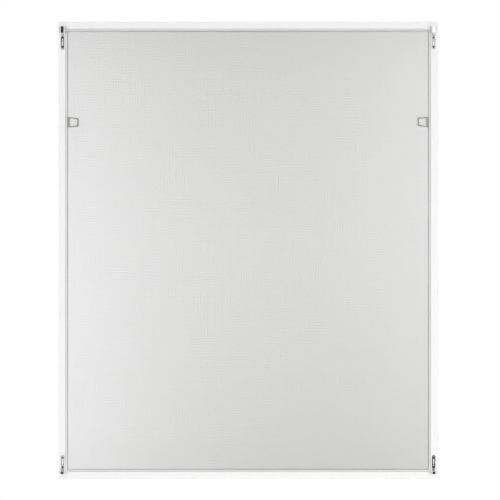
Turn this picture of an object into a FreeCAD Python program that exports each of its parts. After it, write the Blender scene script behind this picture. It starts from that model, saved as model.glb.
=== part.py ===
import FreeCAD, Part
import Sketcher
import math
import os
import re

# Hang-in insect screen for a window, 1000 x 1205 mm, seen from the room side.
# Axes: X to the right, Z up, the room side faces -Y. Lengths are in millimetres.
# Every piece has its own y = 0 at the foremost plane, the front of the hooks.

SIZES = (
    ("frame_width", 1000, "outer width"),
    ("frame_height", 1205, "outer height"),
    ("frame_depth", 11, "front face to back face"),
    ("wall", 1.2, "wall of the hollow sides"),
    ("edge_radius", 0.8, "rounded outer edges of the sides"),
    ("groove_start", 18.2, "outer edge to the spline groove"),
    ("groove_width", 5.8, "spline groove"),
    ("groove_depth", 6, "spline groove below the front face"),
    ("lip_width", 1, "inner lip beside the groove"),
    ("lip_drop", 0.8, "inner lip below the front face"),
    ("turn_radius", 2, "inner edge of the frame round a corner"),
    ("head_margin", 0.5, "straight run of a corner head past its turn"),
    ("corner_radius", 2.5, "outer corners"),
    ("leg_length", 48, "corner leg inside a side"),
    ("leg_gap", 0.15, "clearance round a leg in its chamber"),
    ("leg_taper", 3, "tapered tip of a leg"),
    ("rib_rise", 0.12, "crush ribs on the legs"),
    ("rib_width", 1, "crush ribs on the legs"),
    ("rib_inset", 2.5, "crush ribs from a leg's sides and ends"),
    ("mesh_thick", 0.25, "mesh"),
    ("mesh_gap", 0.05, "mesh to the lip and to the groove's walls and floor"),
    ("band_pitch", 130, "bands that stand for the mesh's threads, centre to centre"),
    ("band_width", 29, "bands that stand for the mesh's threads"),
    ("spline_gap", 0.75, "spline to the groove's outer wall"),
    ("spline_drop", 0.4, "top of the spline below the front face"),
    ("spline_crown", 0.7, "crowned top of the spline"),
    ("spline_bevel", 1.1, "sloping sides of the spline's top and bottom"),
    ("spline_lift", 0.15, "bottom of the spline to the mesh under it"),
    ("spline_round", 0.9, "rounded bottom of the spline"),
    ("seam", 0.8, "gap between the spline's two ends"),
    ("foot_thick", 0.6, "foot of a grip in the groove"),
    ("foot_gap", 0.1, "clearance on each side of a grip's foot"),
    ("foot_depth", 5, "foot of a grip below the front face"),
    ("grip_drop", 264.6, "top edge of the frame to the middle of a grip"),
    ("grip_gap", 0.25, "back of a grip to the mesh"),
    ("grip_reach", 30.7, "length of a grip from its foot"),
    ("grip_lift", 4.2, "free end of a grip in front of its foot"),
    ("grip_thick", 1.8, "grip"),
    ("grip_base_half", 14.2, "half height of a grip at its foot"),
    ("grip_end_half", 11.2, "half height of a grip at its free end"),
    ("grip_base_bar", 7.2, "bar of a grip beside its foot"),
    ("grip_side_bar", 3.6, "upper and lower bars of a grip"),
    ("grip_end_bar", 4.6, "bar at a grip's free end"),
    ("grip_radius", 4, "outer corners of a grip"),
    ("grip_hole_radius", 2.2, "inner corners of a grip"),
    ("grip_skew", 0.9, "free end of a grip to one side of its foot"),
    ("grip_bevel", 0.4, "bevelled edges of a grip"),
    ("steel", 1.2, "sheet of the hangers"),
    ("bend_radius", 1.2, "inside of a hanger's bends"),
    ("hook_gap", 12, "front face to the back of a hook"),
    ("hook_inset", 12.9, "tip of a hook from the end of its stile"),
    ("short_hook", 7.2, "length of the lower hooks"),
    ("long_hook", 18.2, "length of the upper hooks"),
    ("hook_width", 7.5, "hook"),
    ("hook_radius", 3, "rounded corners of a hook's tip"),
    ("plate_width", 9, "plate of a hanger"),
    ("plate_offset", 10.6, "outer edge to the centre line of a plate"),
    ("shoulder", 3.2, "bend of a hanger to the full width of its plate"),
    ("bead_place", 5.7, "bend of a hanger to its cross bead"),
    ("bead_half", 2, "half width of the cross bead"),
    ("bead_rise", 0.8, "cross bead above the plate"),
    ("screw_place", 10.2, "bend of a hanger to its first screw"),
    ("screw_pitch", 24.7, "first screw to second screw"),
    ("spare_hole_place", 15.1, "bend of a hanger to its spare hole"),
    ("spare_hole_radius", 1.5, "spare hole"),
    ("slot_place", 18.3, "bend of a hanger to its slot"),
    ("slot_length", 13.8, "slot"),
    ("slot_width", 3.2, "slot"),
    ("end_hole_place", 38.9, "bend of a hanger to the hole in its round end"),
    ("end_hole_radius", 1.4, "hole in the round end"),
    ("plate_length", 42.2, "bend of a hanger to the end of its plate"),
    ("screw_radius", 1.4, "screw"),
    ("screw_end_gap", 2.5, "point of a screw to the back wall of its stile"),
    ("screw_tip", 0.9, "bevelled point of a screw"),
    ("screw_hole_gap", 0.2, "clearance round a screw in the plate and the stile"),
    ("pilot_gap", 0.05, "clearance round a screw in a corner leg"),
    ("head_radius", 2.45, "screw head"),
    ("head_height", 1.9, "screw head"),
    ("head_bevel", 1, "bevelled rim of a screw head"),
)

# Sizes that follow from those above.
FACE = "(hook_gap + steel)"
BACK = f"({FACE} + frame_depth)"
FLOOR = f"({FACE} + groove_depth)"
GROOVE_END = "(groove_start + groove_width)"
PROFILE = f"({GROOVE_END} + lip_width)"
TURN = f"({PROFILE} + turn_radius)"
HEAD = f"({TURN} + head_margin)"
HEM = f"({GROOVE_END} - mesh_gap - mesh_thick)"
FOOT = f"({HEM} - foot_gap - foot_thick)"
SPLINE_START = "(groove_start + spline_gap)"
SPLINE_END = f"({FOOT} - foot_gap)"
SPLINE_HALF = f"(({SPLINE_END} - {SPLINE_START}) / 2)"
MESH_FRONT = f"({FACE} + lip_drop - mesh_gap - mesh_thick)"
SCREWS = ("screw_place", "(screw_place + screw_pitch)")
SCREW_LENGTH = "(steel + frame_depth - wall - screw_end_gap)"

# The screws and the small round holes have this many flat sides.
SMALL_SIDES = 12

# Points nearer to each other than this count as one.
CLOSE = 1e-4

doc = FreeCAD.newDocument("window_screen_frame")
sheet = doc.addObject("Spreadsheet::Sheet", "sizes")
for row, (alias, value, note) in enumerate(SIZES, start=1):
    sheet.set(f"A{row}", note)
    sheet.set(f"B{row}", str(value))
    sheet.setAlias(f"B{row}", alias)
doc.recompute()


def number(text):
    """The value of a size or of a sum of sizes."""
    return float(sheet.evalExpression(text))


def bind(thing, path, text):
    """Tie a property to the sheet: 'wall * 2' is read as 'sizes.wall * 2'."""
    thing.setExpression(path, re.sub(r"\b(?!floor\b)[a-z][a-z_]*", r"sizes.\g<0>", text))


def new_body(label):
    body = doc.addObject("PartDesign::Body", label)
    body.Label = label
    return body


def place(thing, x, y, z, turn=0):
    """Turn a piece about Y and put it in the row frame."""
    thing.Placement = FreeCAD.Placement(
        FreeCAD.Vector(), FreeCAD.Rotation(FreeCAD.Vector(0, 1, 0), turn)
    )
    for axis, text in (("x", x), ("y", y), ("z", z)):
        bind(thing, f"Placement.Base.{axis}", text)


def new_sketch(body, name, plane, level="0"):
    """An empty sketch on one of the body's own planes, at a level along that plane's axis."""
    sketch = body.newObject("Sketcher::SketchObject", name)
    support = next(f for f in body.Origin.OriginFeatures if f.Role == plane)
    sketch.AttachmentSupport = [(support, "")]
    sketch.MapMode = "FlatFace"
    away = "-" if plane == "XZ_Plane" else ""
    bind(sketch, "AttachmentOffset.Base.z", f"{away}({level})")
    return sketch


def pin(sketch, points):
    """Give points of a sketch their coordinates: (edge, end, axis, size) each."""
    kinds = [
        Sketcher.Constraint(f"Distance{axis}", edge, end, number(text))
        for edge, end, axis, text in points
    ]
    for index, (_, _, _, text) in zip(sketch.addConstraint(kinds), points):
        bind(sketch, f"Constraints[{index}]", text)


def draw(sketch, corners, closed=True):
    """An outline through its corners: (x, y), or (x, y, cx, cy) if an arc about (cx, cy) leads there."""
    spots = [FreeCAD.Vector(number(c[0]), number(c[1]), 0) for c in corners]
    edges = []
    pins = []
    for i in range(0 if closed else 1, len(corners)):
        start, end = spots[i - 1], spots[i]
        if len(corners[i]) == 2:
            edges.append((sketch.addGeometry(Part.LineSegment(start, end)), 1, 2))
        else:
            centre = FreeCAD.Vector(number(corners[i][2]), number(corners[i][3]), 0)
            left_turn = (start - centre).cross(end - centre).z > 0
            first, last = (start, end) if left_turn else (end, start)
            circle = Part.Circle(centre, FreeCAD.Vector(0, 0, 1), (start - centre).Length)
            angles = [math.atan2(*reversed((p - centre)[:2])) for p in (first, last)]
            index = sketch.addGeometry(Part.ArcOfCircle(circle, *angles))
            edges.append((index, 1, 2) if left_turn else (index, 2, 1))
            along = "X" if abs(end.y - start.y) >= abs(end.x - start.x) else "Y"
            pins.append((index, 3, along, corners[i][2 if along == "X" else 3]))
        pins += [(edges[-1][0], edges[-1][2], axis, corners[i][k]) for k, axis in enumerate("XY")]
    following = edges[1:] + edges[:1] if closed else edges[1:]
    sketch.addConstraint(
        [Sketcher.Constraint("Coincident", a[0], a[2], b[0], b[1]) for a, b in zip(edges, following)]
    )
    if not closed:
        pins += [(edges[0][0], edges[0][1], axis, corners[0][k]) for k, axis in enumerate("XY")]
    pin(sketch, pins)


def feature(body, kind, name, profile, length):
    made = body.newObject(f"PartDesign::{kind}", name)
    made.Profile = profile
    bind(made, "Length", length)
    return made


def plate(body, name, loops, front, back):
    """Material between two levels of y, with outlines drawn as seen from the front."""
    sketch = new_sketch(body, f"{name}_outline", "XZ_Plane", front)
    for loop in loops:
        draw(sketch, loop)
    made = feature(body, "Pad", name, sketch, f"{back} - {front}")
    made.Reversed = True
    return made


def cut(body, name, loops, front, depth):
    """A pocket from a level of y towards the back."""
    sketch = new_sketch(body, f"{name}_outline", "XZ_Plane", front)
    for loop in loops:
        draw(sketch, loop)
    return feature(body, "Pocket", name, sketch, depth)


def soften(body, kind, name, size, wanted):
    """A Fillet or Chamfer on the edges of the body for which wanted(edge) holds."""
    doc.recompute()
    base = body.Tip
    names = [f"Edge{i}" for i, e in enumerate(base.Shape.Edges, start=1) if wanted(e)]
    made = body.newObject(f"PartDesign::{kind}", name)
    made.Base = (base, names)
    bind(made, "Radius" if kind == "Fillet" else "Size", size)


def rectangle(x0, y0, x1, y1):
    return [(x0, y0), (x1, y0), (x1, y1), (x0, y1)]


def polygon(x, y, radius):
    """The outline of a screw or of a small hole about a point."""
    turns = [2 * math.pi * k / SMALL_SIDES for k in range(SMALL_SIDES)]
    return [
        (f"{x} + ({math.cos(turn):.6f}) * ({radius})", f"{y} + ({math.sin(turn):.6f}) * ({radius})")
        for turn in turns
    ]


def bulge(half, rise):
    """How far behind its crest a shallow arc has its centre."""
    return f"(({half} * {half} + {rise} * {rise}) / (2 * {rise}))"


def ring(inset):
    """The frame's outline moved in by an inset, its corners turning about the common centres."""
    across, up = f"frame_width - {inset}", f"frame_height - {inset}"
    right, top = f"frame_width - {TURN}", f"frame_height - {TURN}"
    return [
        (TURN, inset, TURN, TURN),
        (right, inset),
        (across, TURN, right, TURN),
        (across, top),
        (right, up, right, top),
        (TURN, up),
        (inset, top, TURN, top),
        (inset, TURN),
    ]


def corner_band(outer, inner):
    """The strip between two insets as it turns a corner whose outer point is the origin."""
    bend = "corner_radius" if outer == "0" else TURN
    return [
        (outer, HEAD),
        (outer, bend),
        (bend, outer, bend, bend),
        (HEAD, outer),
        (HEAD, inner),
        (TURN, inner),
        (inner, TURN, TURN, TURN),
        (inner, HEAD),
    ]


def screw_places(hook):
    """Distances of a hanger's two screws from the end of its stile."""
    return [f"(hook_inset + {hook} + {screw})" for screw in SCREWS]


def make_side(label, length, x, z, turn, screws=()):
    """An extruded side: a hollow chamber, the spline groove and the inner lip."""
    body = new_body(label)
    section = new_sketch(body, "section", "XY_Plane")
    edge, near, far = "edge_radius", f"{FACE} + edge_radius", f"{BACK} - edge_radius"
    draw(section, [
        (edge, FACE, edge, near),
        ("groove_start", FACE),
        ("groove_start", FLOOR),
        (GROOVE_END, FLOOR),
        (GROOVE_END, f"{FACE} + lip_drop"),
        (PROFILE, f"{FACE} + lip_drop"),
        (PROFILE, f"{FLOOR} + wall"),
        ("groove_start", f"{FLOOR} + wall"),
        ("groove_start", BACK),
        (edge, BACK),
        ("0", far, edge, far),
        ("0", near),
    ])
    draw(section, rectangle("wall", f"{FACE} + wall", "groove_start - wall", f"{BACK} - wall"))
    feature(body, "Pad", "extrusion", section, length)
    if screws:
        holes = [polygon("plate_offset", along, "screw_radius + screw_hole_gap") for along in screws]
        cut(body, "screw_holes", holes, FACE, "2 * wall")
    place(body, x, f"-{BACK} / 2", z, turn)
    return body


def make_corner(label, x, z, turn, hook):
    """A moulded corner: the head turns the groove, and two legs fill the chambers of the sides."""
    body = new_body(label)
    plate(body, "head", [corner_band("0", "groove_start")], FACE, BACK)
    plate(body, "shelf", [corner_band("0", PROFILE)], FACE, f"{FLOOR} + wall")
    cut(body, "groove", [corner_band("groove_start", GROOVE_END)], FACE, "groove_depth")
    cut(body, "lip", [corner_band(GROOVE_END, PROFILE)], FACE, "lip_drop")
    near, far = "(wall + leg_gap)", "(groove_start - wall - leg_gap)"
    front, back = f"({FACE} + wall + leg_gap)", f"({BACK} - wall - leg_gap)"
    tip = f"({HEAD} + leg_length)"
    plate(body, "legs", [[
        (near, near),
        (f"{tip} - leg_taper", near),
        (tip, f"{near} + leg_taper"),
        (tip, f"{far} - leg_taper"),
        (f"{tip} - leg_taper", far),
        (far, far),
        (far, f"{tip} - leg_taper"),
        (f"{far} - leg_taper", tip),
        (f"{near} + leg_taper", tip),
        (near, f"{tip} - leg_taper"),
    ]], front, back)
    start, end = f"{HEAD} + rib_inset", f"{tip} - leg_taper - rib_inset"
    ribs = []
    for rib in (f"({near} + rib_inset)", f"({far} - rib_inset - rib_width)"):
        ribs.append(rectangle(rib, start, f"{rib} + rib_width", end))
        ribs.append(rectangle(start, rib, end, f"{rib} + rib_width"))
    plate(body, "crush_ribs", ribs, f"({front} - rib_rise)", f"({back} + rib_rise)")
    pilots = []
    for along in screw_places(hook):
        spot = ("plate_offset", along) if turn in (0, 180) else (along, "plate_offset")
        pilots.append(polygon(*spot, "screw_radius + pilot_gap"))
    cut(body, "pilot_holes", pilots, f"({front} - rib_rise)", f"{back} - {front} + 2 * rib_rise")
    limits = [number(FACE), number(BACK)]
    reach = number("corner_radius")

    def is_outer_edge(edge):
        middle = edge.valueAt((edge.FirstParameter + edge.LastParameter) / 2)
        flat = any(abs(middle.y - y) < CLOSE for y in limits) and edge.BoundBox.YLength < CLOSE
        return flat and min(middle.x, middle.z) < reach / 2

    soften(body, "Fillet", "outer_edges", "edge_radius", is_outer_edge)
    place(body, x, f"-{BACK} / 2", z, turn)
    return body


def make_spline():
    """One length of soft cord, pressed into the groove all round; its ends meet at the top left."""
    body = new_body("spline")
    middle = f"({SPLINE_START} + {SPLINE_HALF})"
    begin = f"({TURN} + seam)"
    path = new_sketch(body, "run", "XZ_Plane", FACE)
    turns = ring(middle)
    draw(path, [(begin, turns[5][1]), (turns[4][0], turns[4][1])]
         + [(turns[3][0], turns[3][1], turns[4][2], turns[4][3])]
         + [(turns[2][0], turns[2][1])]
         + [(turns[1][0], turns[1][1], turns[2][2], turns[2][3])]
         + [(turns[0][0], turns[0][1])]
         + [(turns[7][0], turns[7][1], turns[0][2], turns[0][3])]
         + [(turns[6][0], turns[6][1])]
         + [(turns[5][0], turns[5][1], turns[6][2], turns[6][3])], closed=False)
    section = new_sketch(body, "section", "YZ_Plane", begin)
    outer, inner = f"frame_height - {SPLINE_START}", f"frame_height - {SPLINE_END}"
    top = f"({FACE} + spline_drop)"
    bottom = f"({FLOOR} - mesh_gap - mesh_thick - spline_lift)"
    shoulder, hip = f"({top} + spline_crown)", f"({bottom} - spline_round)"
    draw(section, [
        (shoulder, outer),
        (top, f"{outer} - spline_bevel"),
        (top, f"{inner} + spline_bevel"),
        (shoulder, inner),
        (hip, inner),
        (bottom, f"{inner} + spline_bevel"),
        (bottom, f"{outer} - spline_bevel"),
        (hip, outer),
    ])
    pipe = body.newObject("PartDesign::AdditivePipe", "cord")
    pipe.Profile = section
    pipe.Spine = path
    place(body, "-frame_width / 2", f"-{BACK} / 2", "-frame_height / 2")
    return body


def bands(body, name, outline, direction, count, front, back):
    """Evenly spaced bands: the first one is drawn, the rest are a pattern along a sketch axis."""
    first = plate(body, name, [outline], front, back)
    pattern = body.newObject("PartDesign::LinearPattern", f"{name}_pattern")
    pattern.Originals = [first]
    pattern.Direction = (first.Profile[0], [direction])
    bind(pattern, "Length", f"({count} - 1) * band_pitch")
    bind(pattern, "Occurrences", count)
    body.Tip = pattern


def make_mesh():
    """Stretched mesh: it lies over the inner lip, turns down beside the spline and passes under it."""
    body = new_body("mesh")
    front, back = MESH_FRONT, f"({MESH_FRONT} + mesh_thick)"
    bottom = f"({FLOOR} - mesh_gap)"
    plate(body, "rim", [ring(HEM), ring(PROFILE)], front, back)
    plate(body, "hem", [ring(HEM), ring(f"({HEM} + mesh_thick)")], front, bottom)
    plate(body, "tuck", [ring("(groove_start + mesh_gap)"), ring(f"({HEM} + mesh_thick)")],
          f"({bottom} - mesh_thick)", bottom)
    columns = f"floor((frame_width - 2 * {PROFILE}) / band_pitch)"
    rows = f"floor((frame_height - 2 * {PROFILE}) / band_pitch)"
    left = f"((frame_width - ({columns} - 1) * band_pitch - band_width) / 2)"
    low = f"((frame_height - ({rows} - 1) * band_pitch - band_width) / 2)"
    upright = rectangle(left, GROOVE_END, f"{left} + band_width", f"frame_height - {GROOVE_END}")
    level = rectangle(GROOVE_END, low, f"frame_width - {GROOVE_END}", f"{low} + band_width")
    bands(body, "upright_bands", upright, "H_Axis", columns, front, back)
    bands(body, "level_bands", level, "V_Axis", rows, front, back)
    place(body, "-frame_width / 2", f"-{BACK} / 2", "-frame_height / 2")
    return body


def make_grip(label, x, turn):
    """A moulded pull loop that leans off the mesh, with its foot held in the groove."""
    body = new_body(label)
    end = f"({FOOT} + grip_reach)"
    back = f"({MESH_FRONT} - grip_gap)"
    front = f"({back} - grip_thick)"
    side = new_sketch(body, "side", "XY_Plane")
    draw(side, [
        (FOOT, f"{FACE} + foot_depth"),
        (FOOT, front),
        (end, f"{front} - grip_lift"),
        (end, f"{back} - grip_lift"),
        (f"{FOOT} + foot_thick", back),
        (f"{FOOT} + foot_thick", f"{FACE} + foot_depth"),
    ])
    feature(body, "Pad", "strip", side, "2 * grip_base_half").Midplane = True
    spare = "2 * grip_base_half"
    hole_start, hole_end = f"({FOOT} + grip_base_bar)", f"({end} - grip_end_bar)"
    wide, narrow = "(grip_base_half - grip_side_bar)", "(grip_end_half - grip_side_bar)"
    cut(body, "outline", [
        rectangle(f"{FOOT} - {spare}", f"-{spare}", f"{end} + {spare}", spare),
        [(FOOT, "-grip_base_half"), (end, "-grip_end_half - grip_skew"),
         (end, "grip_end_half - grip_skew"), (FOOT, "grip_base_half")],
        [(hole_start, f"-{wide}"), (hole_end, f"-{narrow} - grip_skew"),
         (hole_end, f"{narrow} - grip_skew"), (hole_start, wide)],
    ], "0", BACK)
    begin, inside, tip = number(FOOT), number(f"{FOOT} + foot_thick"), number(end)
    lift, hole_ends = number("grip_lift"), [number(hole_start), number(hole_end)]

    def is_upright(edge, places):
        """True on the loop's corner edges at one of these distances from the outer edge."""
        box = edge.BoundBox
        return max(box.XLength, box.ZLength) < CLOSE and any(abs(box.XMin - x) < CLOSE for x in places)

    def is_leaning(edge, start, level):
        """True on an edge in the plane that leans forward to the free end from a level of y."""
        lean = lift / (tip - start)
        return all(abs(v.Point.y + lean * (v.Point.x - start) - level) < CLOSE for v in edge.Vertexes)

    def is_rim(edge):
        """True on the rim of the loop's front, and on that of its back away from the foot."""
        if is_leaning(edge, begin, number(front)):
            return True
        return edge.BoundBox.XMin > hole_ends[0] - CLOSE and is_leaning(edge, inside, number(back))

    soften(body, "Fillet", "hole_corners", "grip_hole_radius", lambda edge: is_upright(edge, hole_ends))
    soften(body, "Fillet", "end_corners", "grip_radius", lambda edge: is_upright(edge, [tip]))
    soften(body, "Chamfer", "rims", "grip_bevel", is_rim)
    place(body, x, f"-{BACK} / 2", "frame_height / 2 - grip_drop", turn)
    return body


def make_hanger(label, hook, x, z, turn):
    """A bent steel strip: hook, web and plate, with a cross bead, a slot and holes."""
    body = new_body(label)
    length = f"({hook} + plate_length)"
    top = f"({length} - plate_width / 2)"
    bend = "(bend_radius + steel)"
    skin = f"({FACE} - steel)"
    bead = f"({hook} + bead_place)"
    hollow = "(bead_half - steel / 2)"
    side = new_sketch(body, "side", "YZ_Plane")
    draw(side, [
        ("0", "0"),
        ("0", f"{hook} + steel - {bend}"),
        (bend, f"{hook} + steel", bend, f"{hook} + steel - {bend}"),
        (f"{skin} - bend_radius", f"{hook} + steel"),
        (skin, f"{hook} + {bend}", f"{skin} - bend_radius", f"{hook} + {bend}"),
        (skin, f"{bead} - bead_half"),
        (skin, f"{bead} + bead_half", f"{skin} - bead_rise + {bulge('bead_half', 'bead_rise')}", bead),
        (skin, length),
        (FACE, length),
        (FACE, f"{bead} + {hollow}"),
        (FACE, f"{bead} - {hollow}", f"{FACE} - bead_rise + {bulge(hollow, 'bead_rise')}", bead),
        (FACE, f"{hook} + {bend}"),
        (f"{FACE} - {bend}", hook, f"{FACE} - {bend}", f"{hook} + {bend}"),
        (bend, hook),
        ("steel", f"{hook} - bend_radius", bend, f"{hook} - bend_radius"),
        ("steel", "0"),
    ])
    feature(body, "Pad", "strip", side, "plate_width")
    centre, spare = "(plate_width / 2)", "plate_width"
    left, right = f"({centre} - hook_width / 2)", f"({centre} + hook_width / 2)"
    neck = f"({hook} + shoulder)"
    flare = f"({neck} + {left})"
    cut(body, "blank", [
        rectangle(f"-{spare}", f"-{spare}", f"2 * {spare}", f"{length} + {spare}"),
        [
            (f"{left} + hook_radius", "0", f"{left} + hook_radius", "hook_radius"),
            (f"{right} - hook_radius", "0"),
            (right, "hook_radius", f"{right} - hook_radius", "hook_radius"),
            (right, neck),
            ("plate_width", flare),
            ("plate_width", top),
            (centre, length, centre, top),
            ("0", top, centre, top),
            ("0", flare),
            (left, neck),
            (left, "hook_radius"),
        ],
    ], "0", FACE)
    slot_low = f"({hook} + slot_place + slot_width / 2)"
    slot_high = f"({hook} + slot_place + slot_length - slot_width / 2)"
    slot_left, slot_right = f"({centre} - slot_width / 2)", f"({centre} + slot_width / 2)"
    slot = [
        (centre, f"{slot_low} - slot_width / 2", centre, slot_low),
        (slot_right, slot_low, centre, slot_low),
        (slot_right, slot_high),
        (centre, f"{slot_high} + slot_width / 2", centre, slot_high),
        (slot_left, slot_high, centre, slot_high),
        (slot_left, slot_low),
    ]
    holes = [polygon(centre, f"{hook} + {screw}", "screw_radius + screw_hole_gap") for screw in SCREWS]
    for hole in ("spare_hole", "end_hole"):
        holes.append(polygon(centre, f"{hook} + {hole}_place", f"{hole}_radius"))
    cut(body, "holes", [slot, *holes], "0", FACE)
    place(body, x, f"-{BACK} / 2", z, turn)
    return body


def make_screws():
    """Eight pan-head screws, two through each hanger into the corner leg behind it."""
    screw = new_body("screw")
    point = f"(head_height + {SCREW_LENGTH})"
    plate(screw, "head", [polygon("0", "0", "head_radius")], "0", "head_height")
    plate(screw, "shank", [polygon("0", "0", "screw_radius")], "head_height", point)
    for name, size, level in (("head_rim", "head_bevel", 0), ("tip", "screw_tip", number(point))):
        soften(screw, "Chamfer", name, size,
               lambda edge: all(abs(v.Point.y - level) < CLOSE for v in edge.Vertexes))
    links = []
    for side in ("-1", "1"):
        for end, hook in (("-1", "short_hook"), ("1", "long_hook")):
            for along in screw_places(hook):
                link = doc.addObject("App::Link", "placed_screw")
                link.LinkedObject = screw
                place(link, f"{side} * (frame_width / 2 - plate_offset)",
                      f"{FACE} - steel - head_height - {BACK} / 2",
                      f"{end} * (frame_height / 2 - {along})")
                links.append(link)
    group = doc.addObject("Part::Compound", "hanger_screws")
    group.Links = links
    return group


LEFT, RIGHT = "-frame_width / 2", "frame_width / 2"
BOTTOM, TOP = "-frame_height / 2", "frame_height / 2"
STILE = f"(frame_height - 2 * {HEAD})"
RAIL = f"(frame_width - 2 * {HEAD})"
UPPER = [f"({along} - {HEAD})" for along in screw_places("long_hook")]
LOWER = [f"({along} - {HEAD})" for along in screw_places("short_hook")]
LEFT_HOLES = LOWER + [f"{STILE} - {along}" for along in UPPER]
RIGHT_HOLES = UPPER + [f"{STILE} - {along}" for along in LOWER]
PLATE_EDGES = ("(plate_offset - plate_width / 2)", "(plate_offset + plate_width / 2)")

PARTS = [
    make_side("left_stile", STILE, LEFT, f"{BOTTOM} + {HEAD}", 0, LEFT_HOLES),
    make_side("top_rail", RAIL, f"{LEFT} + {HEAD}", TOP, 90),
    make_side("right_stile", STILE, RIGHT, f"{TOP} - {HEAD}", 180, RIGHT_HOLES),
    make_side("bottom_rail", RAIL, f"{RIGHT} - {HEAD}", BOTTOM, 270),
    make_corner("corner_bottom_left", LEFT, BOTTOM, 0, "short_hook"),
    make_corner("corner_top_left", LEFT, TOP, 90, "long_hook"),
    make_corner("corner_top_right", RIGHT, TOP, 180, "long_hook"),
    make_corner("corner_bottom_right", RIGHT, BOTTOM, 270, "short_hook"),
    make_mesh(),
    make_spline(),
    make_grip("grip_left", LEFT, 0),
    make_grip("grip_right", RIGHT, 180),
]
for label, hook, z, turn, (left_edge, right_edge) in (
    ("hanger_bottom", "short_hook", f"{BOTTOM} + hook_inset", 0, PLATE_EDGES),
    ("hanger_top", "long_hook", f"{TOP} - hook_inset", 180, PLATE_EDGES[::-1]),
):
    PARTS.append(make_hanger(f"{label}_left", hook, f"{LEFT} + {left_edge}", z, turn))
    PARTS.append(make_hanger(f"{label}_right", hook, f"{RIGHT} - {right_edge}", z, turn))
PARTS.append(make_screws())

doc.recompute()
for thing in doc.Objects:
    if "Invalid" in thing.State or "Error" in thing.State:
        raise RuntimeError(f"{thing.Label} did not compute: {thing.State}")
os.makedirs("parts", exist_ok=True)
for part in PARTS:
    if part.Shape.isNull() or not part.Shape.isValid():
        raise RuntimeError(f"{part.Label} is not a valid solid")
for part in PARTS:
    part.Shape.exportStep(f"parts/{part.Label}.step")
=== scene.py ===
import math

import bmesh
import bpy
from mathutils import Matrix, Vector


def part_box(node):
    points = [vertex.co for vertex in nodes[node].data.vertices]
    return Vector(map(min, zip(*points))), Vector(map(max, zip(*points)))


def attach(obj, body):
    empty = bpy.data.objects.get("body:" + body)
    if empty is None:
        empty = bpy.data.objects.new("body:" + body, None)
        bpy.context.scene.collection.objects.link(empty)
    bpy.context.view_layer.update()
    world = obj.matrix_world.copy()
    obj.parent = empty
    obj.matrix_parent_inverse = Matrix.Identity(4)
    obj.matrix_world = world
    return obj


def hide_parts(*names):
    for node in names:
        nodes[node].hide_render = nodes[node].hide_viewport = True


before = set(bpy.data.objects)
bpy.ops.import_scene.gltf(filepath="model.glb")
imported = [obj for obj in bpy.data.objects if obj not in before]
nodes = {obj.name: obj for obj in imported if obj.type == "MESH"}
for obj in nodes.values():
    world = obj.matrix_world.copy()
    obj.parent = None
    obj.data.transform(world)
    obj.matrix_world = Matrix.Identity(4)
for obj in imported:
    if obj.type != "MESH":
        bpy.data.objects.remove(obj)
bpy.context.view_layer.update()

MM = 0.001

# the outside of the frame and the face that looks into the room
HALF_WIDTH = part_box("right_stile")[1].x
HALF_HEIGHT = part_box("top_rail")[1].z
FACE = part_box("top_rail")[0].y

# insets from the outer edge, across a side: the centre that corners turn about, the cord and the hem
TURN = 27 * MM
CORD_INSET = 20.925 * MM
HEM_INSET = 23.83 * MM

# woven screen
WEAVE_PITCH = 1.41 * MM
WEAVE_FRONT = 1.68 * MM
WEAVE_STEP = 0.06 * MM
WEAVE_SEED = 3.7
THREAD = 0.33 * MM
THREAD_POINTS = 14
WANDER = 0.12 * MM
WANDER_SCALE = 14.0
UPRIGHT_LAYER, CROSS_LAYER = 0.5, 1.5
HEM_BACK = 6.9 * MM

# tone of the threads over the sheet, with painted sheen and shade that make it paler towards the left
# and right and darker towards the right side, the top and the bottom; and the reed marks in it
MIDDLE_TONE = 0.185
RIGHT_PAINTED_SHADE = 0.11
SIDES_PAINTED_SHEEN = 0.31
ENDS_PAINTED_SHADE = 0.147
DIAGONAL_PAINTED_SHEEN = 0.11
MARKS_IN_MIDDLE = 0.62
MARKS_LOST_AT_SIDES = 0.22
DARK_THREAD, PALE_THREAD = -0.05, 0.65
REED_PITCH = 6.8 * MM
REED_PATCH, REED_LENGTH = 24 * MM, 42 * MM

# retaining cord
CORD_HALF = 1.9 * MM
CORD_TOP = 1.5 * MM
CORD_BACK = 6.65 * MM
CORD_BACK_HALF = 0.6 * CORD_HALF
CORD_CHAMFER = 1.2 * MM
CORD_SHOULDER = 0.7 * MM
CORD_RIDGES = 5
CORD_RIDGE = 0.12 * MM
RIDGE_POINTS = 8
CORD_SEAM = 0.8 * MM
ARC_STEPS = 8

# hanger screws, with shares of the head's radius and height
PLATE_FRONT = -0.1 * MM
HEAD_FRONT = -2.0 * MM
HEAD_RADIUS = 2.45 * MM
HEAD_PROFILE = ((0.45, 0.97), (0.75, 0.84), (0.93, 0.58), (1, 0.30), (1, 0.04), (0.97, 0))
SHANK_RADIUS = 1.4 * MM
SHANK_END = 8.3 * MM
SHANK_POINT = 1.6 * MM
SCREW_SEGMENTS = 24
RECESS_MOUTH_LENGTH, RECESS_MOUTH_WIDTH, RECESS_MOUTH_HEIGHT = 1.25, 0.42, 1.3
RECESS_FLOOR_LENGTH, RECESS_FLOOR_WIDTH, RECESS_FLOOR_HEIGHT = 0.55, 0.30, 0.35
SCREW_TO_END = 7.3 * MM
SCREW_PITCH = 24.7 * MM
SCREW_SEED = 5

# studio floor
FLOOR = -1.5
FLOOR_REACH = 4.0
FLOOR_SIDES = 48
FLOOR_GLOW = 0.3
FADE_RATE, FADE_OFFSET = 2.0, 0.9

# studio cards: their depth, their width, and the heights at which the hangers' faces see them
CARDS = -7.0
REACH = 3.0
LEFT, RIGHT, BOTH = (-REACH, 0), (0, REACH), (-REACH, REACH)
PLATES, TOP_HOOKS, LOW_HOOKS, EDGE = 0.9, 1.371, 1.395, 1.75
CEILING, OVERHANG = 2.6, 1.8

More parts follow.
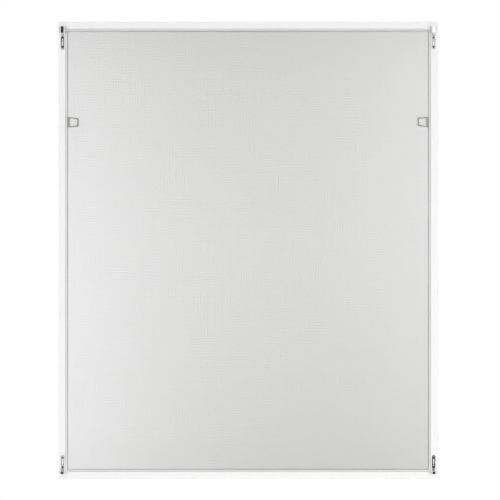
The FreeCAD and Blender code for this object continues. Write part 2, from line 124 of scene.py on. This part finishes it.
# studio light and camera
AMBIENT = 0.35
LAMP_SIZE = 1.4
CAMERA_DISTANCE = 5.0
CAMERA_RIGHT, CAMERA_UP = 5 * MM, 0.7 * MM
VIEW_SPAN = 1.3193
SENSOR = 36.0


class Socket:
    """An output of a node that takes part in Python sums."""

    def __init__(self, graph, link):
        self.graph = graph
        self.link = link

    def math(self, operation, *terms):
        return self.graph.add("ShaderNodeMath", {"operation": operation}, *terms)

    def __add__(self, other):
        return self.math("ADD", self, other)

    def __sub__(self, other):
        return self.math("SUBTRACT", self, other)

    def __mul__(self, other):
        return self.math("MULTIPLY", self, other)

    def __truediv__(self, other):
        return self.math("DIVIDE", self, other)

    def __rsub__(self, other):
        return self.math("SUBTRACT", other, self)

    def __rtruediv__(self, other):
        return self.math("DIVIDE", other, self)

    def __gt__(self, other):
        return self.math("GREATER_THAN", self, other)

    def __abs__(self):
        return self.math("ABSOLUTE", self)

    __radd__ = __add__
    __rmul__ = __mul__

    def at_least(self, low):
        return self.math("MAXIMUM", self, low)

    def at_most(self, high):
        return self.math("MINIMUM", self, high)

    def held(self):
        """The value, kept from 0 to 1."""
        return self.at_least(0.0).at_most(1.0)

    def root(self):
        return self.math("SQRT", self)

    def sine(self):
        return self.math("SINE", self)


class Graph:
    """A node tree that is being laid out."""

    def __init__(self, tree):
        self.tree = tree

    def add(self, kind, settings=None, *values, out=0, **named):
        node = self.tree.nodes.new(kind)
        for key, value in (settings or {}).items():
            setattr(node, key, value)
        for key, value in [*enumerate(values), *named.items()]:
            if isinstance(value, Socket):
                self.tree.links.new(value.link, node.inputs[key])
            else:
                node.inputs[key].default_value = value
        return Socket(self, node.outputs[out]) if node.outputs else None

    def axis(self, where, letter):
        """One coordinate of a place."""
        return self.add("ShaderNodeSeparateXYZ", None, where, out=letter)

    def place(self, x, y, z):
        """A place from its three coordinates."""
        return self.add("ShaderNodeCombineXYZ", None, x, y, z)

    def noise(self, where, scale, detail=2.0, stretch=(1, 1, 1)):
        """A soft random value round a half, drawn out along the axes by stretch."""
        if stretch != (1, 1, 1):
            where = self.add("ShaderNodeVectorMath", {"operation": "MULTIPLY"}, where, stretch)
        return self.add("ShaderNodeTexNoise", None, Vector=where, Scale=scale, Detail=detail)

    def blend(self, amount, first, second):
        """A colour between two, by an amount from 0 to 1."""
        node = self.tree.nodes.new("ShaderNodeMix")
        node.data_type = "RGBA"
        self.tree.links.new(amount.link, node.inputs[0])
        node.inputs[6].default_value = (*first, 1)
        node.inputs[7].default_value = (*second, 1)
        return Socket(self, node.outputs[2])

    def bump(self, height, distance):
        return self.add("ShaderNodeBump", None, Strength=1.0, Distance=distance, Height=height)

    def glow(self, level, strength):
        """A grey light of a surface's own."""
        return self.add("ShaderNodeEmission", None, Color=(level, level, level, 1), Strength=strength)


def bare_material(name):
    """A material with an empty node tree, and the graph that fills it."""
    material = bpy.data.materials.new(name)
    material.use_nodes = True
    material.node_tree.nodes.clear()
    return material, Graph(material.node_tree)


def finish(name, lay_out):
    """A material whose principled shader takes the sockets that lay_out gives back."""
    material, graph = bare_material(name)
    where = graph.add("ShaderNodeTexCoord", out="Object")
    shader = graph.add("ShaderNodeBsdfPrincipled", None, **lay_out(graph, where))
    graph.add("ShaderNodeOutputMaterial", None, shader)
    return material


def powder_coat(graph, where):
    """White powder coat on aluminium: satin and even, with a fine orange peel."""
    cloud = graph.noise(where, 9.0, detail=3.0)
    speck = graph.noise(where, 700.0)
    peel = graph.noise(where, 380.0)
    tone = 0.6 * cloud + 0.4 * speck
    return {
        "Base Color": graph.blend(tone, (0.86, 0.862, 0.858), (0.90, 0.90, 0.895)),
        "Roughness": 0.62 + 0.16 * speck,
        "Normal": graph.bump(peel, 0.03 * MM),
    }


def moulded_white(graph, where):
    """White moulded plastic of the corners, a little warmer than the coat."""
    cloud = graph.noise(where, 30.0, detail=3.0)
    grain = graph.noise(where, 1500.0)
    return {
        "Base Color": graph.blend(cloud, (0.82, 0.82, 0.808), (0.87, 0.869, 0.857)),
        "Roughness": 0.6 + 0.18 * grain,
        "Normal": graph.bump(grain, 0.02 * MM),
    }


def soft_cord(graph, where):
    """Pale grey soft plastic of the retaining cord, matt, with a dusty bloom."""
    bloom = graph.noise(where, 45.0, detail=4.0)
    grain = graph.noise(where, 2200.0)
    return {
        "Base Color": graph.blend(bloom, (0.735, 0.735, 0.73), (0.815, 0.815, 0.805)),
        "Roughness": 0.55 + 0.2 * grain,
        "Normal": graph.bump(grain, 0.015 * MM),
    }


def reed_marks(graph, across, along):
    """Evenly spaced marks of the weaver's reed, about zero, which come and go in patches."""
    where = graph.place(across / REED_PATCH, along / REED_LENGTH, 0.0)
    patch = graph.noise(where, 1.0, detail=1.0) - 0.5
    return (across * (2 * math.pi / REED_PITCH)).sine() * patch


def coated_thread(graph, where):
    """Grey plastic-coated glass thread: reed marks both ways, and painted sheen and shade that make it
    paler towards the left and right and darker towards the top and bottom.
    """
    x = graph.axis(where, "X")
    z = graph.axis(where, "Z")
    side = x / HALF_WIDTH
    up = z / HALF_HEIGHT
    uneven = reed_marks(graph, x, z) + reed_marks(graph, z, x)
    # painted sheen and shade in the thread colour: paler towards the left and right edges and across
    # two corners, darker to the right side and towards the top and bottom
    shade = MIDDLE_TONE - RIGHT_PAINTED_SHADE * side + SIDES_PAINTED_SHEEN * side * side
    shade = shade - ENDS_PAINTED_SHADE * up * up + DIAGONAL_PAINTED_SHEEN * side * up
    shade = shade + (MARKS_IN_MIDDLE - MARKS_LOST_AT_SIDES * side * side) * uneven
    tone = ((shade - DARK_THREAD) / (PALE_THREAD - DARK_THREAD)).held()
    return {
        "Base Color": graph.blend(tone, (0.046, 0.043, 0.018), (0.76, 0.76, 0.76)),
        "Roughness": 0.55 + 0.3 * uneven,
    }


def moulded_grey(graph, where):
    """Mid grey moulded plastic of the pull loops."""
    cloud = graph.noise(where, 60.0, detail=3.0)
    grain = graph.noise(where, 1800.0)
    return {
        "Base Color": graph.blend(cloud, (0.27, 0.267, 0.25), (0.33, 0.327, 0.31)),
        "Roughness": 0.4 + 0.2 * grain,
        "Normal": graph.bump(grain, 0.02 * MM),
    }


def rolled_steel(graph, where):
    """Bright steel strip of the hangers, with fine rolling lines along it."""
    lines = graph.noise(where, 1.0, detail=3.0, stretch=(2600, 2600, 60))
    cloud = graph.noise(where, 140.0)
    return {
        "Base Color": graph.blend(cloud, (0.68, 0.68, 0.69), (0.76, 0.76, 0.76)),
        "Metallic": 1.0,
        "Roughness": 0.01 + 0.02 * lines,
    }


def black_screw(graph, where):
    """Blackened steel of the screws, worn a little brighter in patches."""
    wear = graph.noise(where, 900.0, detail=3.0)
    return {
        "Base Color": graph.blend(wear, (0.010, 0.010, 0.010), (0.045, 0.045, 0.045)),
        "Metallic": 1.0,
        "Roughness": 0.3 + 0.25 * wear,
    }


FINISHES = {
    "frame_white": finish("powder_coat", powder_coat),
    "corner_white": finish("moulded_white", moulded_white),
    "spline_grey": finish("soft_cord", soft_cord),
    "mesh_grey": finish("coated_thread", coated_thread),
    "grip_grey": finish("moulded_grey", moulded_grey),
    "hanger_steel": finish("rolled_steel", rolled_steel),
    "screw_steel": finish("black_screw", black_screw),
}

SOCKET_KINDS = {
    float: "NodeSocketFloat",
    int: "NodeSocketInt",
    bpy.types.Object: "NodeSocketObject",
    bpy.types.Material: "NodeSocketMaterial",
}


def placed(name, data):
    """An object at the origin that shows this mesh, curve, lamp or camera."""
    piece = bpy.data.objects.new(name, data)
    bpy.context.scene.collection.objects.link(piece)
    return piece


def settle(piece):
    """Turns a piece and its modifiers into a plain mesh."""
    bpy.context.view_layer.update()
    depsgraph = bpy.context.evaluated_depsgraph_get()
    mesh = bpy.data.meshes.new_from_object(piece.evaluated_get(depsgraph))
    piece.modifiers.clear()
    piece.data = mesh


def grown(name, lay_out, sizes):
    """A piece made by a node tree, whose named inputs hold its sizes."""
    tree = bpy.data.node_groups.new(name, "GeometryNodeTree")
    tree.interface.new_socket("Piece", in_out="OUTPUT", socket_type="NodeSocketGeometry")
    keys = {}
    for label, value in sizes.items():
        kind = SOCKET_KINDS[type(value)]
        keys[label] = tree.interface.new_socket(label, in_out="INPUT", socket_type=kind).identifier
    graph = Graph(tree)
    entry = tree.nodes.new("NodeGroupInput")
    given = {label: Socket(graph, entry.outputs[label]) for label in sizes}
    shape = graph.add("GeometryNodeRealizeInstances", None, lay_out(graph, given))
    dressed = graph.add("GeometryNodeSetMaterial", None, shape, Material=given["Finish"])
    tree.links.new(dressed.link, tree.nodes.new("NodeGroupOutput").inputs[0])
    piece = placed(name, bpy.data.meshes.new(name))
    modifier = piece.modifiers.new(name, "NODES")
    modifier.node_group = tree
    for label, value in sizes.items():
        modifier[keys[label]] = value
    settle(piece)
    return piece


def fitted(piece, node):
    """Puts a finished piece in the place of a CAD node."""
    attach(piece, "root")
    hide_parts(node)


def drop(*helpers):
    """Removes the objects that a finished piece no longer needs."""
    for helper in helpers:
        bpy.data.objects.remove(helper)


def swept(graph, path, section):
    """A section carried along a path, closed at its ends."""
    return graph.add("GeometryNodeCurveToMesh", None, **{
        "Curve": path, "Profile Curve": section, "Fill Caps": True})


def threads(graph, given, uprights):
    """Parallel threads across the opening, each turned down into the groove at both ends."""
    count, cross, along, layer = (
        ("Uprights", "Half Width", "Half Height", UPRIGHT_LAYER)
        if uprights
        else ("Cross Threads", "Half Height", "Half Width", CROSS_LAYER)
    )
    points = given["Points"]
    first = -0.5 * (given[count] - 1) * given["Pitch"]
    row = graph.add("GeometryNodeMeshLine", None, **{
        "Count": given[count],
        "Start Location": graph.place(first, 0.0, 0.0),
        "Offset": graph.place(given["Pitch"], 0.0, 0.0),
    })
    line = graph.add("GeometryNodeCurvePrimitiveLine", None, Start=(0, 0, 0), End=(0, 0, 1))
    line = graph.add("GeometryNodeResampleCurve", None, Curve=line, Count=points)
    laid = graph.add("GeometryNodeInstanceOnPoints", None, Points=row, Instance=line)
    laid = graph.add("GeometryNodeRealizeInstances", None, laid)

    position = graph.add("GeometryNodeInputPosition")
    side = graph.axis(position, "X")
    share = graph.axis(position, "Z")

    step = 1.0 / (points - 1.0)
    run = ((share - step) / (1.0 - 2.0 * step)).held()
    tail = abs(share - 0.5) > 0.5 - 0.5 * step
    turn = given["Turn"]
    bow = turn - given["Hem Inset"]
    past = (abs(side) - (given[cross] - turn)).at_least(0.0)
    reach = given[along] - turn + (bow * bow - past * past).at_least(0.0).root()
    place = (2.0 * run - 1.0) * reach
    seed = graph.place(side, given["Seed"], place)
    wander = graph.noise(seed, WANDER_SCALE, detail=1.0) - 0.5
    side = side + 2.0 * given["Wander"] * wander
    depth = given["Front"] + layer * given["Step"]
    depth = depth + tail * (given["Hem Back"] - depth)
    spot = (side, depth, place) if uprights else (place, depth, side)
    moved = graph.add("GeometryNodeSetPosition", None, Geometry=laid, Position=graph.place(*spot))
    width = given["Thread"]
    section = graph.add("GeometryNodeCurvePrimitiveQuadrilateral", None, width, width)
    return swept(graph, moved, section)


def woven_screen(graph, given):
    """Upright threads, and cross threads a little behind them."""
    both = graph.tree.nodes.new("GeometryNodeJoinGeometry")
    for uprights in (True, False):
        graph.tree.links.new(threads(graph, given, uprights).link, both.inputs[0])
    return graph.add("GeometryNodeSetShadeSmooth", None, Socket(graph, both.outputs[0]))


def pressed_cord(graph, given):
    """A section swept round the groove."""
    path = graph.add("GeometryNodeObjectInfo", None, given["Path"], out="Geometry")
    section = graph.add("GeometryNodeObjectInfo", None, given["Section"], out="Geometry")
    return swept(graph, path, section)


def screw_set(graph, given):
    """One screw on each seat, turned at random about its axis."""
    seats = graph.add("GeometryNodeObjectInfo", None, given["Seats"], out="Geometry")
    screw = graph.add("GeometryNodeObjectInfo", None, given["Screw"], out="Geometry")
    turn = graph.add("FunctionNodeRandomValue", {"data_type": "FLOAT_VECTOR"}, Min=(0, 0, 0),
                     Max=(0, math.pi, 0), Seed=given["Seed"])
    return graph.add("GeometryNodeInstanceOnPoints", None, Points=seats, Instance=screw,
                     Rotation=turn)


def line_object(name, points, closed):
    """A poly line as a curve object."""
    curve = bpy.data.curves.new(name, "CURVE")
    curve.dimensions = "3D"
    spline = curve.splines.new("POLY")
    spline.points.add(len(points) - 1)
    for point, place in zip(spline.points, points):
        point.co = (*place, 1)
    spline.use_cyclic_u = closed
    return placed(name, curve)


def cord_path():
    """Once round the groove, from the seam at the top left."""
    radius = TURN - CORD_INSET
    wide, high = HALF_WIDTH - TURN, HALF_HEIGHT - TURN
    points = [(-wide + CORD_SEAM, 0, high + radius)]
    for x, z, start in ((wide, high, 90), (wide, -high, 0), (-wide, -high, -90), (-wide, high, -180)):
        for step in range(ARC_STEPS + 1):
            angle = math.radians(start - 90 / ARC_STEPS * step)
            points.append((x + radius * math.cos(angle), 0, z + radius * math.sin(angle)))
    return line_object("cord_path", points, False)


def cord_section():
    """Crowned front with fine ridges, flat sides and a chamfered back."""
    ridged = RIDGE_POINTS * CORD_RIDGES
    points = []
    for step in range(ridged + 1):
        across = 2.0 * step / ridged - 1.0
        crown = CORD_SHOULDER * across ** 2
        swell = 0.5 - 0.5 * math.cos(2 * math.pi * step / RIDGE_POINTS)
        ridge = CORD_RIDGE * swell * (1 - across ** 4)
        points.append((across * CORD_HALF, CORD_TOP + crown + ridge))
    points += [
        (CORD_HALF, CORD_BACK - CORD_CHAMFER),
        (CORD_BACK_HALF, CORD_BACK),
        (-CORD_BACK_HALF, CORD_BACK),
        (-CORD_HALF, CORD_BACK - CORD_CHAMFER),
    ]
    return line_object("cord_section", [(-y, x, 0) for x, y in points], True)


def screw_seats():
    """The places of the screw heads, on the plates of the hangers."""
    mesh = bpy.data.meshes.new("screw_seats")
    places = []
    for node in sorted(n for n in nodes if n.startswith("hanger_") and n != "hanger_screws"):
        low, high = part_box(node)
        middle = 0.5 * (low.x + high.x)
        for along in (SCREW_TO_END, SCREW_TO_END + SCREW_PITCH):
            z = low.z + along if low.z > 0 else high.z - along
            places.append((middle, PLATE_FRONT, z))
    mesh.from_pydata(places, [], [])
    return placed("screw_seats", mesh)


def lathe(bm, outline, segments):
    """A closed turned shape about the Y axis, from its tip to its tail."""
    rings = []
    for radius, y in outline:
        if radius == 0:
            rings.append([bm.verts.new((0, y, 0))])
            continue
        ring = []
        for step in range(segments):
            angle = 2 * math.pi * step / segments
            ring.append(bm.verts.new((radius * math.cos(angle), y, radius * math.sin(angle))))
        rings.append(ring)
    for upper, lower in zip(rings, rings[1:]):
        for step in range(segments):
            after = (step + 1) % segments
            corners = [upper[step % len(upper)], upper[after % len(upper)],
                       lower[after % len(lower)], lower[step % len(lower)]]
            bm.faces.new(list(dict.fromkeys(corners)))
    bmesh.ops.recalc_face_normals(bm, faces=bm.faces)


def modelled(name, bm):
    """An object that shows a finished bmesh."""
    mesh = bpy.data.meshes.new(name)
    bm.to_mesh(mesh)
    bm.free()
    return placed(name, mesh)


def cross_recess(height):
    """Two crossed wedges, narrower at the floor of the recess than at its mouth."""
    bm = bmesh.new()
    for across in (False, True):
        made = bmesh.ops.create_cube(bm, size=1.0)
        for vert in made["verts"]:
            deep = vert.co.y > 0
            length = RECESS_FLOOR_LENGTH if deep else RECESS_MOUTH_LENGTH
            width = RECESS_FLOOR_WIDTH if deep else RECESS_MOUTH_WIDTH
            front = RECESS_FLOOR_HEIGHT if deep else RECESS_MOUTH_HEIGHT
            x = vert.co.x * length * HEAD_RADIUS
            z = vert.co.z * width * HEAD_RADIUS
            vert.co = (z, -front * height, -x) if across else (x, -front * height, z)
    return modelled("recess", bm)


def pan_screw():
    """A pan-head screw with a cross recess, its seat at the origin."""
    height = PLATE_FRONT - HEAD_FRONT
    end = SHANK_END - PLATE_FRONT
    outline = [
        (0, -height),
        *((radius * HEAD_RADIUS, -front * height) for radius, front in HEAD_PROFILE),
        (SHANK_RADIUS, 0),
        (SHANK_RADIUS, end - SHANK_POINT),
        (0, end),
    ]
    bm = bmesh.new()
    lathe(bm, outline, SCREW_SEGMENTS)
    screw = modelled("pan_screw", bm)
    recess = cross_recess(height)
    cut = screw.modifiers.new("recess", "BOOLEAN")
    cut.operation = "DIFFERENCE"
    cut.solver = "EXACT"
    cut.use_self = True
    cut.object = recess
    settle(screw)
    drop(recess)
    return screw


screen = grown("woven_screen", woven_screen, {
    "Pitch": WEAVE_PITCH,
    "Uprights": int(2 * (HALF_WIDTH - HEM_INSET) / WEAVE_PITCH),
    "Cross Threads": int(2 * (HALF_HEIGHT - HEM_INSET) / WEAVE_PITCH),
    "Half Width": HALF_WIDTH,
    "Half Height": HALF_HEIGHT,
    "Turn": TURN,
    "Hem Inset": HEM_INSET,
    "Hem Back": HEM_BACK,
    "Front": WEAVE_FRONT,
    "Step": WEAVE_STEP,
    "Thread": THREAD,
    "Points": THREAD_POINTS,
    "Wander": WANDER,
    "Seed": WEAVE_SEED,
    "Finish": FINISHES["mesh_grey"],
})
fitted(screen, "mesh")

path, section = cord_path(), cord_section()
cord = grown("pressed_cord", pressed_cord, {
    "Path": path, "Section": section, "Finish": FINISHES["spline_grey"]})
fitted(cord, "spline")
drop(path, section)

seats, screw = screw_seats(), pan_screw()
screws = grown("cross_head_screws", screw_set, {
    "Seats": seats, "Screw": screw, "Seed": SCREW_SEED, "Finish": FINISHES["screw_steel"]})
fitted(screws, "hanger_screws")
drop(seats, screw)

CORNERS = ("top_left", "top_right", "bottom_left", "bottom_right")
CAD_FINISHES = {
    "frame_white": ["top_rail", "bottom_rail", "left_stile", "right_stile"],
    "corner_white": [f"corner_{corner}" for corner in CORNERS],
    "grip_grey": ["grip_left", "grip_right"],
    "hanger_steel": [f"hanger_{corner}" for corner in CORNERS],
}
for slot, dressed in CAD_FINISHES.items():
    for node in dressed:
        nodes[node].data.materials.clear()
        nodes[node].data.materials.append(FINISHES[slot])


def studio_panel(name, corners, lay_out):
    """A flat panel of the studio, which is no part of the screen."""
    mesh = bpy.data.meshes.new(name)
    mesh.from_pydata(corners, [], [tuple(range(len(corners)))])
    panel = placed(name, mesh)
    material, graph = bare_material(name)
    graph.add("ShaderNodeOutputMaterial", None, lay_out(graph))
    mesh.materials.append(material)
    return panel


def seen_white(graph):
    """1 for the rays that see the background, directly, in a reflection or through a surface."""
    node = graph.tree.nodes.new("ShaderNodeLightPath")
    rays = ("Camera", "Glossy", "Transmission")
    camera_ray, glossy_ray, through_ray = (Socket(graph, node.outputs[f"Is {ray} Ray"]) for ray in rays)
    return (camera_ray + glossy_ray + through_ray).at_most(1.0)


def pale_floor(graph):
    """Matt and pale under the screen, running out into the white background at its edge."""
    where = graph.add("ShaderNodeTexCoord", out="Object")
    far = graph.add("ShaderNodeVectorMath", {"operation": "LENGTH"}, where, out="Value") / FLOOR_REACH
    plain = graph.add("ShaderNodeBsdfDiffuse", None, Color=(0.85, 0.85, 0.85, 1))
    near = graph.add("ShaderNodeAddShader", None, plain, graph.glow(1, FLOOR_GLOW * seen_white(graph)))
    white = graph.glow(1, seen_white(graph))
    fade = (FADE_RATE * far - FADE_OFFSET).held()
    return graph.add("ShaderNodeMixShader", None, fade, near, white)


def floor_outline():
    """The corners of a round floor below the screen."""
    turns = [2 * math.pi * step / FLOOR_SIDES for step in range(FLOOR_SIDES)]
    return [(FLOOR_REACH * math.cos(turn), FLOOR_REACH * math.sin(turn), FLOOR) for turn in turns]


def reflected_card(name, corners, level):
    """A card that only polished metal sees."""

    def plain(graph):
        return graph.glow(level, 1.0)

    card = studio_panel(name, corners, plain)
    card.visible_camera = False
    card.visible_diffuse = False
    card.visible_transmission = False
    card.visible_shadow = False


def behind_camera(name, xs, zs, level):
    """A card behind the camera, seen in the flat faces of the hangers."""
    (left, right), (low, high) = xs, zs
    outline = ((left, low), (right, low), (right, high), (left, high))
    reflected_card(name, [(x, CARDS, z) for x, z in outline], level)


def softbox(name, place, power):
    """A square studio lamp aimed at the middle of the screen."""
    lamp = bpy.data.lights.new(name, "AREA")
    lamp.shape = "SQUARE"
    lamp.size = LAMP_SIZE
    lamp.energy = power
    box = placed(name, lamp)
    box.location = place
    box.rotation_euler = (-Vector(place)).to_track_quat("-Z", "Y").to_euler()


studio_panel("floor", floor_outline(), pale_floor)

behind_camera("card_middle", BOTH, (-PLATES, PLATES), 0.05)
behind_camera("card_top_left", LEFT, (PLATES, TOP_HOOKS), 0.26)
behind_camera("card_hook_left", LEFT, (TOP_HOOKS, EDGE), 0.06)
behind_camera("card_top_right", RIGHT, (PLATES, TOP_HOOKS), 0.7)
behind_camera("card_hook_right", RIGHT, (TOP_HOOKS, EDGE), 1.5)
behind_camera("card_bottom_left", LEFT, (-LOW_HOOKS, -PLATES), 0.62)
behind_camera("card_bottom_right", RIGHT, (-LOW_HOOKS, -PLATES), 0.12)
behind_camera("card_hooks_low", BOTH, (-EDGE, -LOW_HOOKS), 0.01)
overhead = ((-REACH, -OVERHANG), (REACH, -OVERHANG), (REACH, 0), (-REACH, 0))
reflected_card("card_overhead", [(x, y, CEILING) for x, y in overhead], 0.05)

world = bpy.data.worlds.new("studio")
bpy.context.scene.world = world
world.use_nodes = True
world.node_tree.nodes.clear()
sky = Graph(world.node_tree)
white = seen_white(sky)
strength = white + AMBIENT * (1.0 - white)
surround = sky.add("ShaderNodeBackground", None, Color=(1, 1, 1, 1), Strength=strength)
sky.add("ShaderNodeOutputWorld", None, surround)

softbox("key", (2.6, -3.6, -0.2), 94)
softbox("fill", (-2.6, -3.6, -0.1), 69)
softbox("back_left", (-2.6, 3.6, 0.6), 60)
softbox("back_right", (2.6, 3.6, 0.6), 60)

lens = bpy.data.cameras.new("camera")
lens.sensor_width = SENSOR
lens.lens = SENSOR * CAMERA_DISTANCE / VIEW_SPAN
camera = placed("camera", lens)
camera.location = (CAMERA_RIGHT, FACE - CAMERA_DISTANCE, CAMERA_UP)
camera.rotation_euler = (math.pi / 2, 0, 0)
bpy.context.scene.camera = camera
bpy.context.scene.view_settings.view_transform = "Standard"
